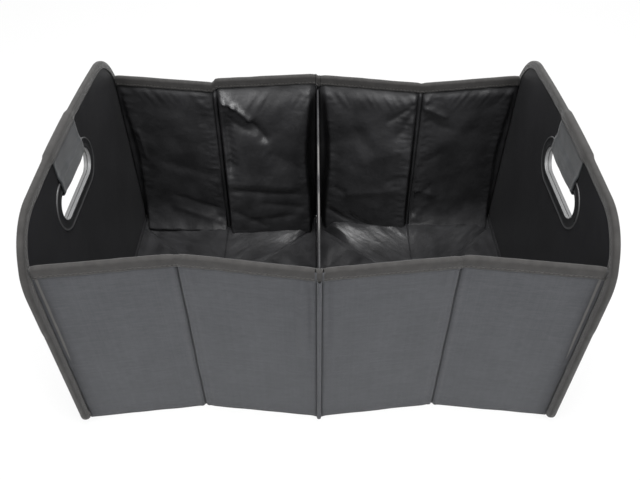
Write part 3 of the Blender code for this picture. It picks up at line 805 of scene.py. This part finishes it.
def add_end_tape(side):
    """The tape sewn all round an end panel's edge."""
    seed = SIDES[side] * 13
    half = END_THICKNESS / 2 + 0.0003 + TAPE_THICKNESS / 2
    radius = 0.0021
    across_tape = tape_length(half, END_TAPE_WIDTH, radius)
    length = end_outline_length()

    def place(around, share):
        across, down = tape_section(around, half, END_TAPE_WIDTH, radius)
        turn = share * 2 * math.pi
        wave = rough((math.cos(turn) * 0.2, math.sin(turn) * 0.2, 0), 0.018, seed)
        low = ease(down / END_TAPE_WIDTH)
        down += 0.0005 * wave * low
        y, z = end_outline_inset(share, down + TAPE_THICKNESS / 2)
        over_wrap = ease((WRAP_WIDTH / 2 + 0.005 - abs(y - SLOT_CENTRE_Y)) / 0.007) if z > 0.2 else 0.0
        leg = min(1.0, abs(across) / half)
        across += math.copysign((0.00025 + 0.0002 * wave + 0.0013 * over_wrap) * low * leg, across)
        across += math.copysign(0.0009 * over_wrap * (1 - low) * leg, across)
        corner = ease((z - 0.150) / 0.012) * ease((0.238 - z) / 0.012) if abs(y) > 0.15 else 0.0
        y += math.copysign(0.0010 * corner * (1 - low), y)
        return end_point(side, END_THICKNESS / 2 + across, y, z + 0.0012 * over_wrap * (1 - low))

    shape = cloth_grid(24, 300, (across_tape, length), place)
    bmesh.ops.remove_doubles(shape, verts=shape.verts, dist=0.00002)
    tape = make_piece(shape, f"{side}_end_tape", "binding")
    mirror_tape_pattern(tape, across_tape)
    thicken(tape, TAPE_THICKNESS, 0.0)
    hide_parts(f"{side}_end_binding")
    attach(tape, f"{side}_end")


def slot_point(share, growth):
    """A point of the grip slot's edge, in Y and Z, share 0 to 1 round it, grown outwards."""
    radius = SLOT_HEIGHT / 2 + growth
    reach = (SLOT_LENGTH - SLOT_HEIGHT) / 2
    straight = 2 * reach
    bend = math.pi * SLOT_HEIGHT / 2
    travel = share % 1.0 * 2 * (straight + bend)
    lap = travel >= straight + bend
    if lap:
        travel -= straight + bend
    if travel < straight:
        y, z = reach - travel, radius
    else:
        turn = (travel - straight) / (SLOT_HEIGHT / 2)
        y = -reach - radius * math.sin(turn)
        z = radius * math.cos(turn)
    if lap:
        y, z = -y, -z
    return SLOT_CENTRE_Y + y, SLOT_CENTRE_Z + z


def add_end_sheet(side, inside):
    """The cloth on one face of an end panel, tight over the board and cut out round the grip slot."""
    seed = SIDES[side] * 7 + inside * 3
    face = 0.0 if inside else END_THICKNESS
    way = -1 if inside else 1

    def place(around, outwards):
        slot_y, slot_z = slot_point(around + SLOT_EDGE_TURN, 0.0022)
        edge_y, edge_z = end_outline_inset(around, 0.0014)
        spread = outwards ** 1.3
        y = slot_y + (edge_y - slot_y) * spread
        z = slot_z + (edge_z - slot_z) * spread
        calm = ease(outwards / 0.1) * ease((1 - outwards) / 0.06)
        swell = 0.0007 * ease(outwards / 0.1) * ease((1 - outwards) / 0.16)
        wave = 0.00045 * rough((y, z, 0), 0.050, seed) + 0.00016 * rough((y, z, 2), 0.014, seed + 1)
        off = 0.0003 + swell + wave * calm
        return end_point(side, face + way * off, y, z)

    shape = bmesh.new()
    pattern = shape.loops.layers.uv.new("Cloth")
    bmesh.ops.create_grid(shape, x_segments=150, y_segments=34, size=0.5)
    for corner in shape.verts:
        corner.co = place(corner.co.x + 0.5, corner.co.y + 0.5)
    bmesh.ops.remove_doubles(shape, verts=shape.verts, dist=0.00002)
    for polygon in shape.faces:
        for loop in polygon.loops:
            loop[pattern].uv = (loop.vert.co.y + (0 if inside else 1), loop.vert.co.z)
    name = "lining" if inside else "canvas"
    slot = "end_lining" if inside else "outer_cloth"
    sheet = make_piece(shape, f"{side}_end_{name}_sheet", slot, Vector((SIDES[side] * way, 0, 0)))
    thicken(sheet, LINING_THICKNESS)
    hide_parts(f"{side}_end_lining" if inside else f"{side}_end_cloth")
    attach(sheet, f"{side}_end")


def ring_section(share, collar):
    """A point of a grip ring's section, share 0 to 1 round it: out from the slot, and out of the panel."""
    outline = (
        (RING_FLANGE, 0.0),
        (0.0016, 0.0),
        (0.0016, -collar),
        (0.0, -collar),
        (0.0, 0.0008),
        (0.0003, 0.0013),
        (0.0010, 0.0016),
        (0.0020, 0.0016),
        (0.0032, 0.0010),
        (0.0050, 0.0008),
        (RING_FLANGE - 0.0026, 0.0009),
        (RING_FLANGE - 0.0018, 0.0015),
        (RING_FLANGE - 0.0008, 0.0016),
        (RING_FLANGE - 0.0002, 0.0011),
        (RING_FLANGE, 0.0005),
    )
    travel = share % 1.0 * len(outline)
    index = int(travel)
    part = travel - index
    here, after = outline[index], outline[(index + 1) % len(outline)]
    return here[0] + (after[0] - here[0]) * part, here[1] + (after[1] - here[1]) * part


def add_grip_ring(side, inside):
    """The moulded ring on one face of the grip slot: flange, rolled lip and a collar into the panel."""
    face = -0.0003 if inside else END_THICKNESS + 0.0003
    way = -1 if inside else 1
    collar = END_THICKNESS / 2 + 0.0003 - 0.00015

    def place(around, share):
        growth, rise = ring_section(around, collar)
        y, z = slot_point(share, growth)
        return end_point(side, face + way * rise, y, z)

    shape = cloth_grid(48, 110, (1, 1), place)
    bmesh.ops.remove_doubles(shape, verts=shape.verts, dist=0.00001)
    where = "inside" if inside else "outside"
    ring = make_piece(shape, f"{side}_grip_surround_{where}", "grip_ring")
    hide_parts(f"{side}_grip_ring_{where}")
    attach(ring, f"{side}_end")


def wrap_line(side):
    """The middle of the wrap's cloth, as points of (out of the panel, height), from face to face."""
    on_panel = 0.0003 + WRAP_THICKNESS / 2
    on_ring = 0.0020 + WRAP_THICKNESS / 2
    slot_top = SLOT_CENTRE_Z + SLOT_HEIGHT / 2
    low = slot_top - 0.0018 - WRAP_THICKNESS / 2
    bend = 0.0016
    inside = [
        (-on_panel, END_HEIGHT - 0.0042),
        (-on_panel, slot_top + 0.0180),
        (-on_ring, slot_top + 0.0122),
    ]
    for step in range(9):
        turn = math.radians(180 + 90 * step / 8)
        inside.append((bend - on_ring + bend * math.cos(turn), low + bend + bend * math.sin(turn)))
    return inside + [(END_THICKNESS - out, height) for out, height in inside[::-1]]


def add_grip_wrap(side):
    """The cloth band round the grip bar: through the slot, over both rings and in under the edge tape."""
    line = [Vector(point) for point in wrap_line(side)]
    runs = [(after - before).length for before, after in zip(line, line[1:])]
    total = sum(runs)

    def spot_at(share):
        travel = share * total
        for start, after, run in zip(line, line[1:], runs):
            if travel <= run:
                return start.lerp(after, travel / run)
            travel -= run
        return line[-1]

    def place(across, share):
        spot = spot_at(share)
        ahead = spot_at(min(1.0, share + 0.01)) - spot_at(max(0.0, share - 0.01))
        out = Vector((ahead.y, -ahead.x)).normalized()
        y = WRAP_WIDTH * (across - 0.5)
        from_hem = 0.5 - abs(across - 0.5)
        under_tape = ease((spot.y - (END_HEIGHT - END_TAPE_WIDTH - 0.004)) / 0.004)
        sag = 0.0022 * ease(from_hem / 0.30) * bump(spot.y - (SLOT_CENTRE_Z + SLOT_HEIGHT / 2), 0.006)
        crumple = 0.0006 * rough((y, spot.x * 2, spot.y), 0.017, SIDES[side] * 4) * ease(from_hem / 0.1)
        hem = 0.0004 * ease((0.075 - from_hem) / 0.03)
        spot = spot + out * ((hem + max(0.0, crumple)) * (1 - under_tape) + sag * 0.5)
        return end_point(side, spot.x, SLOT_CENTRE_Y + y, spot.y)

    shape = cloth_grid(36, 110, (WRAP_WIDTH, total), place)
    wrap = make_piece(shape, f"{side}_grip_band", "grip_wrap")
    thicken(wrap, WRAP_THICKNESS - 0.0002, 0.0)
    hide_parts(f"{side}_grip_wrap")
    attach(wrap, f"{side}_end")


def add_divider():
    """The divider's satin cover, drawn over its board, with a soft rolled top edge."""
    half = DIVIDER_HALF - 0.0003
    drop = DIVIDER_TOP - WALL_FOOT
    reach = 0.1640
    around_length = tape_length(half, drop, half - 0.00005)

    def place(around, share):
        across, down = tape_section(around, half, drop, half - 0.00005)
        y = -reach + 2 * reach * share
        flat = ease(down / 0.02) * ease((reach - abs(y)) / 0.02)
        across += math.copysign(0.00045 * max(0.0, rough((y, 0, down), 0.035, 2)) * flat, across)
        dip = 0.0012 * math.sin(math.pi * share) + 0.0004 * rough((y, 0, 0), 0.03, 6)
        return Vector((across, y, DIVIDER_TOP - down - dip * ease(1 - down / drop)))

    shape = cloth_grid(90, 90, (around_length, 2 * reach), place, spread=0)
    cover = make_piece(shape, "divider_satin", "lining")
    thicken(cover, SEAM_CLOTH_THICKNESS)
    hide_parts("divider_cover")
    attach(cover, "divider")


def add_centre_seam(wall):
    """The pinched ridge of canvas where the two halves of a wall meet, with a knot at its foot."""
    lowest = min(0.0, *(TOP_LIFTS[wall, side][0] for side in SIDES))

    def place(around, up):
        height = WALL_FOOT + (WALL_TOP - TAPE_DROP - 0.0004 + lowest - WALL_FOOT) * up
        turn = 2 * around - 1
        crest = max(0.0, 1 - (abs(turn) / 0.72) ** 2.4)
        flare = ease((abs(turn) - 0.68) / 0.32)
        knot = bump(height - 0.004, 0.0045)
        out = 0.0009 - 0.0008 * flare + 0.0033 * crest * (1 + 0.12 * knot)
        out += 0.0003 * crest * rough((0, 0, height), 0.02, WALLS[wall])
        width = 0.0020 * min(1.0, abs(turn) / 0.72) ** 0.6 * (1 + 0.40 * knot) + 0.0022 * flare
        bow = 0.0004 * crest * rough((0, 0, height), 0.05, WALLS[wall] + 3)
        return Vector((bow + math.copysign(width, turn), WALLS[wall] * (0.1655 + out), height))

    shape = cloth_grid(28, 90, (0.014, WALL_TOP), place)
    seam = make_piece(shape, f"{wall}_centre_ridge", "outer_cloth", Vector((0, WALLS[wall], 0)))
    thicken(seam, SEAM_CLOTH_THICKNESS)
    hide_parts(f"{wall}_centre_seam")
    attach(seam, "divider")


def add_centre_tab(wall):
    """The folded ends of the two tapes, tacked together over the divider."""
    middle = 0.0033
    half = 0.0029
    drop = TAPE_DROP + 0.0010
    radius = 0.0021
    across_tape = tape_length(half, drop, radius)

    def place(around, share):
        across, down = tape_section(around, half, drop, radius)
        x = 0.0029 * (2 * share - 1)
        squeeze = 1 + 0.10 * math.cos(math.pi * (2 * share - 1)) * ease(down / drop)
        lift = [top_lift(side, wall, 0.0) for side in SIDES]
        top = WALL_TOP - 0.0002 + lift[0] + (lift[1] - lift[0]) * ease(share) - 0.0012 * bump(x, 0.0018)
        return Vector((x, WALLS[wall] * (WALL_LINE + middle + across * squeeze), top - down))

    shape = cloth_grid(26, 14, (across_tape, 0.0058), place)
    tab = make_piece(shape, f"{wall}_centre_tab", "binding")
    mirror_tape_pattern(tab, across_tape)
    thicken(tab, TAPE_THICKNESS, 0.0)
    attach(tab, "divider")


def floor_height(reach):
    """The height of a floor board's top, reach along it from its hinge."""
    return FLOOR_HINGE_Z - LINING_FACE * REST_COS + reach * REST_SIN


def add_floor_board(side, outer_board):
    """One floor board in its satin, with the creases that the folding leaves in it."""
    seed = SIDES[side] * 19 + outer_board * 5
    start, end = -0.0018 if outer_board else 0.0002, CREASE_PITCH + 0.0007
    ridge_x = FLOOR_HINGE_X + CREASE_PITCH * REST_COS + CREASE_DEPTH * REST_SIN

    def place(along, across):
        reach = start + (end - start) * along
        half = FLOOR_HALF_WIDTH - max(0.0, reach) + 0.0010
        y = half * (2 * across - 1)
        from_edge = half - abs(y)
        slant = reach * 0.9 - abs(y) * 0.45
        rise = 0.0052 * max(0.0, rough((slant, y * 0.35 + reach * 0.2, 0), 0.034, seed) + 0.15)
        rise += 0.0012 * abs(rough((reach * 1.2, y * 0.8, 3), 0.018, seed + 2))
        rise *= ease(from_edge / 0.014) * ease(reach / 0.012) * ease((CREASE_PITCH - reach) / 0.006)
        rise += 0.0007 * bump(from_edge - 0.0020, 0.0014) - 0.0006 * bump(from_edge, 0.0008)
        x = FLOOR_HINGE_X + reach * REST_COS + LINING_FACE * REST_SIN
        if outer_board:
            x = 2 * ridge_x - x
        return Vector((SIDES[side] * x, y, floor_height(reach) + rise))

    shape = cloth_grid(58, 144, (CREASE_PITCH, 2 * FLOOR_HALF_WIDTH), place)
    place_name = "outer" if outer_board else "inner"
    board = make_piece(shape, f"{side}_floor_{place_name}_satin", "lining", Vector((0, 0, 1)))
    thicken(board, FLOOR_THICKNESS - 0.0004)
    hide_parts(f"{side}_floor_{place_name}")
    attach(board, f"{side}_floor_{place_name}")
    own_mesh(board)


def add_centre_floor_seam():
    """A strip of cloth under the divider, which the floor boards and gussets are sewn to."""
    width = 0.016
    half_length = 0.1606

    def place(across, along):
        y = half_length * (2 * along - 1)
        turned_up = 0.0068 * ease((abs(y) - 0.1575) / 0.0030)
        return Vector((width * (across - 0.5), y, 0.0007 + turned_up))

    shape = cloth_grid(4, 60, (width, 0.315), place)
    seam = make_piece(shape, "centre_floor_seam", "lining", Vector((0, 0, 1)))
    thicken(seam, SEAM_CLOTH_THICKNESS)
    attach(seam, "divider")


def add_end_foot(side):
    """The floor's cloth where it turns up against an end panel and covers its tape."""
    half_length = 0.158

    def place(up, along):
        y = half_length * (2 * along - 1)
        off = 0.0014 + 0.0018 * (1 - up) ** 1.6 + 0.0003 * rough((y, 0, up * 0.01), 0.012, SIDES[side])
        height = 0.0008 + 0.0092 * up ** 1.3 + 0.0008 * rough((y, 0, 3), 0.020, SIDES[side]) * up
        return end_point(side, -off, y, height)

    shape = cloth_grid(10, 120, (0.010, 2 * half_length), place)
    strip = make_piece(shape, f"{side}_floor_turnup", "lining", Vector((-SIDES[side], 0, 0)))
    thicken(strip, SEAM_CLOTH_THICKNESS)
    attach(strip, f"{side}_end")


def add_gusset(side, wall, outer_board):
    """Half a soft triangle of floor, between a wall board and the floor's slanting edge."""
    seed = SIDES[side] * 23 + WALLS[wall] * 7 + outer_board * 3
    middle_x = (HINGE_X + CORNER_X) / 2
    own = Vector(GUSSET_SWELLS.get((wall, side, outer_board)) or PLAIN_SWELL)
    other = Vector(GUSSET_SWELLS.get((wall, side, not outer_board)) or PLAIN_SWELL)
    tucked_rows = GUSSET_ROWS - GUSSET_SEEN_ROWS

    def place(along, inwards):
        tucked = max(0.0, inwards * GUSSET_ROWS - GUSSET_SEEN_ROWS) / tucked_rows
        inwards = min(1.0, inwards * GUSSET_ROWS / GUSSET_SEEN_ROWS)
        reach = -0.0008 + (CREASE_PITCH + 0.0020) * along
        foot = wall_point(side, wall, reach, 0.0030, 0.0052 + foot_rise(reach))
        edge_x = FLOOR_HINGE_X + 0.0006 + reach * REST_COS
        edge_y = FLOOR_HALF_WIDTH - max(0.0, reach) - 0.0020
        edge_z = floor_height(reach) - FLOOR_THICKNESS - 0.0002
        edge = Vector((SIDES[side] * edge_x, WALLS[wall] * edge_y, max(0.0008, edge_z)))
        point = foot.lerp(edge, inwards)
        crest, swell, fall = own.lerp(other, 0.5 * ease((along - 0.30) / 0.70))
        off_wall = inwards * (foot - edge).length
        slope = bump(off_wall - crest, 0.014 if off_wall < crest else fall)
        uneven = 0.85 + 0.5 * rough((point.x, 0, 1), 0.05, SIDES[side])
        hump = swell * uneven * slope * ease((1 - inwards) / 0.25)
        slant = abs(point.x) * 0.7 + abs(point.y) * 0.7
        drawn = rough((slant, point.x * 0.25, 0), 0.013, seed)
        fine = abs(rough((point.x, point.y * 0.5, 2), 0.022, seed + 1))
        soft = ease(inwards / 0.15) * ease((1 - inwards) / 0.10)
        soft *= ease(along / 0.15) * ease((1 - along) / 0.12)
        point.z += hump * ease(along / 0.2) + soft * (0.0030 * max(0.0, drawn) + 0.0012 * fine)
        point.y -= WALLS[wall] * GUSSET_TUCK * along * tucked
        point.z += (0.0008 - point.z) * ease(tucked / 0.8)
        if outer_board:
            point.x = 2 * SIDES[side] * middle_x - point.x
        return point

    shape = cloth_grid(54, GUSSET_ROWS, (CREASE_PITCH, 0.14 + GUSSET_TUCK), place)
    place_name = "outer" if outer_board else "inner"
    body = f"{wall}_{side}_{place_name}"
    cloth = make_piece(shape, f"{body}_gusset_satin", "lining", Vector((0, 0, 1)))
    thicken(cloth, LINING_THICKNESS)
    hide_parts(f"{wall}_{side}_gusset")
    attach(cloth, body)
    hinge_edge = 2 * CREASE_PITCH - 0.002 if outer_board else 0.002
    anchor = wall_point(side, wall, hinge_edge, LINING_FACE + 0.0005, 0.002)
    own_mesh(cloth)


def add_floor_and_backdrop():
    """A white floor that keeps a faint shadow, and white everywhere else that the camera sees."""
    shape = bmesh.new()
    bmesh.ops.create_circle(shape, cap_ends=True, segments=64, radius=6.0)
    mesh = bpy.data.meshes.new("studio_floor")
    shape.to_mesh(mesh)
    shape.free()
    studio_floor = bpy.data.objects.new("studio_floor", mesh)
    bpy.context.scene.collection.objects.link(studio_floor)
    finish = Finish("studio_white", 0.9)
    finish.shader.inputs["Base Color"].default_value = tone(0.80, 0.80, 0.80)
    glow = finish.add("Emission", {"Color": tone(1, 1, 1), "Strength": 1.0})
    rays = finish.add("LightPath", output=0)
    lit = Wire(finish, finish.shader.outputs[0])
    seen = finish.add("MixShader", [rays * 0.86, lit, glow])
    finish.tree.links.new(seen.socket, finish.tree.nodes["Material Output"].inputs["Surface"])
    mesh.materials.append(finish.material)


def add_light():
    """Plain soft studio light: an even white room, and soft boxes at both sides, overhead and behind."""
    world = bpy.data.worlds.new("studio")
    bpy.context.scene.world = world
    world.use_nodes = True
    tree = world.node_tree
    room = tree.nodes["Background"]
    room.inputs["Color"].default_value = tone(1, 1, 1)
    room.inputs["Strength"].default_value = 0.32
    white = tree.nodes.new("ShaderNodeBackground")
    white.inputs["Strength"].default_value = 1.0
    rays = tree.nodes.new("ShaderNodeLightPath")
    seen = room.outputs[0]
    for ray in ("Is Camera Ray", "Is Glossy Ray", "Is Transmission Ray"):
        choose = tree.nodes.new("ShaderNodeMixShader")
        tree.links.new(rays.outputs[ray], choose.inputs[0])
        tree.links.new(seen, choose.inputs[1])
        tree.links.new(white.outputs[0], choose.inputs[2])
        seen = choose.outputs[0]
    tree.links.new(seen, tree.nodes["World Output"].inputs["Surface"])
    lamps = (
        ("left_box", (-1.05, -0.95, 1.65), (0.0, 0.0, 0.1), 0.9, 22.0),
        ("right_box", (1.05, -0.95, 1.65), (0.0, 0.0, 0.1), 0.9, 25.0),
        ("overhead", (0.0, -0.04, 1.60), (0.0, 0.05, 0.1), 0.6, 19.0),
        ("back_fill", (0.3, 2.3, 1.1), (0.0, 0.0, 0.1), 1.4, 12.0),
    )
    for name, place, target, size, power in lamps:
        data = bpy.data.lights.new(name, "AREA")
        data.size = size
        data.energy = power
        lamp = bpy.data.objects.new(name, data)
        lamp.location = place
        lamp.rotation_euler = (Vector(target) - Vector(place)).to_track_quat("-Z", "Y").to_euler()
        bpy.context.scene.collection.objects.link(lamp)


def add_camera():
    """The photograph's viewpoint: nearly square on, looking down at about 43 degrees."""
    pitch = math.radians(43.27)
    yaw = math.radians(0.59)
    roll = math.radians(0.26)
    ahead = Vector((math.sin(yaw) * math.cos(pitch), math.cos(yaw) * math.cos(pitch), -math.sin(pitch)))
    level = Vector((math.cos(yaw), -math.sin(yaw), 0))
    upright = level.cross(ahead)
    right = math.cos(roll) * level + math.sin(roll) * upright
    up = -math.sin(roll) * level + math.cos(roll) * upright
    data = bpy.data.cameras.new("camera")
    data.sensor_width = 36.0
    data.lens = 36.36
    camera = bpy.data.objects.new("camera", data)
    turn = Matrix((right, up, -ahead)).transposed().to_4x4()
    camera.matrix_world = Matrix.Translation((-0.00373, -0.55047, 0.62894)) @ turn
    bpy.context.scene.collection.objects.link(camera)
    bpy.context.scene.camera = camera


def dress_hidden_boards():
    """Gives the boards inside the cloth their own finish."""
    for name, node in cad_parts.items():
        if name.endswith("_board"):
            for slot in node.material_slots:
                slot.material = MATERIALS["stiffener"]


bpy.context.scene.view_settings.view_transform = "Standard"
add_camera()
add_light()
add_floor_and_backdrop()
dress_hidden_boards()
add_divider()
add_centre_floor_seam()
for wall_name in WALLS:
    add_centre_seam(wall_name)
    add_centre_tab(wall_name)
for side_name in SIDES:
    for wall_name in WALLS:
        add_canvas(side_name, wall_name)
        add_wall_tape(side_name, wall_name)
        add_crease_strip(side_name, wall_name)
        for is_outer in (False, True):
            add_wall_lining(side_name, wall_name, is_outer)
            add_gusset(side_name, wall_name, is_outer)
    for is_outer in (False, True):
        add_floor_board(side_name, is_outer)
    for is_inside in (True, False):
        add_end_sheet(side_name, is_inside)
        add_grip_ring(side_name, is_inside)
    add_end_foot(side_name)
    add_end_tape(side_name)
    add_grip_wrap(side_name)
